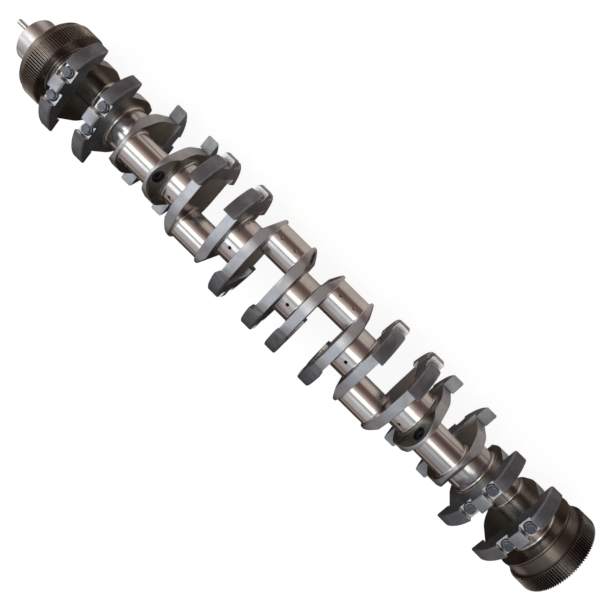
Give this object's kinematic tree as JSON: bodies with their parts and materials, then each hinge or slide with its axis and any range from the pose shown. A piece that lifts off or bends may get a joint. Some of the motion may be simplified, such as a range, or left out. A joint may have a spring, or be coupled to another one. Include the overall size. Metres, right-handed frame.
{
  "type": "crankshaft",
  "caption": "Long engine crankshaft with ground journals and crankpins, bolted counterweights on every web, a gear at each end and a flywheel face.",
  "frame": {"origin": "centre of the flywheel face at the rear end, on the shaft axis", "axes": "+X along the shaft axis out of the flywheel face; +Z and +Y are the two planes that the throws lie in"},
  "size_m": [2.605, 0.394, 0.394],
  "materials": {
    "ground_steel": "ground and polished",
    "forged_steel": "dark forged and machined, oiled",
    "counterweight_iron": "dark phosphate with bright milled seats",
    "bolt_steel": "black oxide",
    "gear_steel": "case hardened, oil darkened",
    "plug_steel": "black oxide",
    "dowel_steel": "ground"
  },
  "bodies": {
    "root": {"crankshaft_forging": "ground_steel", "front_gear": "gear_steel", "rear_gear": "gear_steel", "nose_dowel": "dowel_steel", "oil_plug_1": "plug_steel", "counterweight_1_front": "counterweight_iron", "counterweight_bolt_1_front_left": "bolt_steel", "counterweight_bolt_1_front_right": "bolt_steel", "counterweight_1_rear": "counterweight_iron", "counterweight_bolt_1_rear_left": "bolt_steel", "counterweight_bolt_1_rear_right": "bolt_steel", "oil_plug_2": "plug_steel", "counterweight_2_front": "counterweight_iron", "counterweight_bolt_2_front_left": "bolt_steel", "counterweight_bolt_2_front_right": "bolt_steel", "counterweight_2_rear": "counterweight_iron", "counterweight_bolt_2_rear_left": "bolt_steel", "counterweight_bolt_2_rear_right": "bolt_steel", "oil_plug_3": "plug_steel", "counterweight_3_front": "counterweight_iron", "counterweight_bolt_3_front_left": "bolt_steel", "counterweight_bolt_3_front_right": "bolt_steel", "counterweight_3_rear": "counterweight_iron", "counterweight_bolt_3_rear_left": "bolt_steel", "counterweight_bolt_3_rear_right": "bolt_steel", "oil_plug_4": "plug_steel", "counterweight_4_front": "counterweight_iron", "counterweight_bolt_4_front_left": "bolt_steel", "counterweight_bolt_4_front_right": "bolt_steel", "counterweight_4_rear": "counterweight_iron", "counterweight_bolt_4_rear_left": "bolt_steel", "counterweight_bolt_4_rear_right": "bolt_steel", "oil_plug_5": "plug_steel", "counterweight_5_front": "counterweight_iron", "counterweight_bolt_5_front_left": "bolt_steel", "counterweight_bolt_5_front_right": "bolt_steel", "counterweight_5_rear": "counterweight_iron", "counterweight_bolt_5_rear_left": "bolt_steel", "counterweight_bolt_5_rear_right": "bolt_steel", "oil_plug_6": "plug_steel", "counterweight_6_front": "counterweight_iron", "counterweight_bolt_6_front_left": "bolt_steel", "counterweight_bolt_6_front_right": "bolt_steel", "counterweight_6_rear": "counterweight_iron", "counterweight_bolt_6_rear_left": "bolt_steel", "counterweight_bolt_6_rear_right": "bolt_steel", "oil_plug_7": "plug_steel", "counterweight_7_front": "counterweight_iron", "counterweight_bolt_7_front_left": "bolt_steel", "counterweight_bolt_7_front_right": "bolt_steel", "counterweight_7_rear": "counterweight_iron", "counterweight_bolt_7_rear_left": "bolt_steel", "counterweight_bolt_7_rear_right": "bolt_steel", "oil_plug_8": "plug_steel", "counterweight_8_front": "counterweight_iron", "counterweight_bolt_8_front_left": "bolt_steel", "counterweight_bolt_8_front_right": "bolt_steel", "counterweight_8_rear": "counterweight_iron", "counterweight_bolt_8_rear_left": "bolt_steel", "counterweight_bolt_8_rear_right": "bolt_steel"}
  },
  "joints": []
}
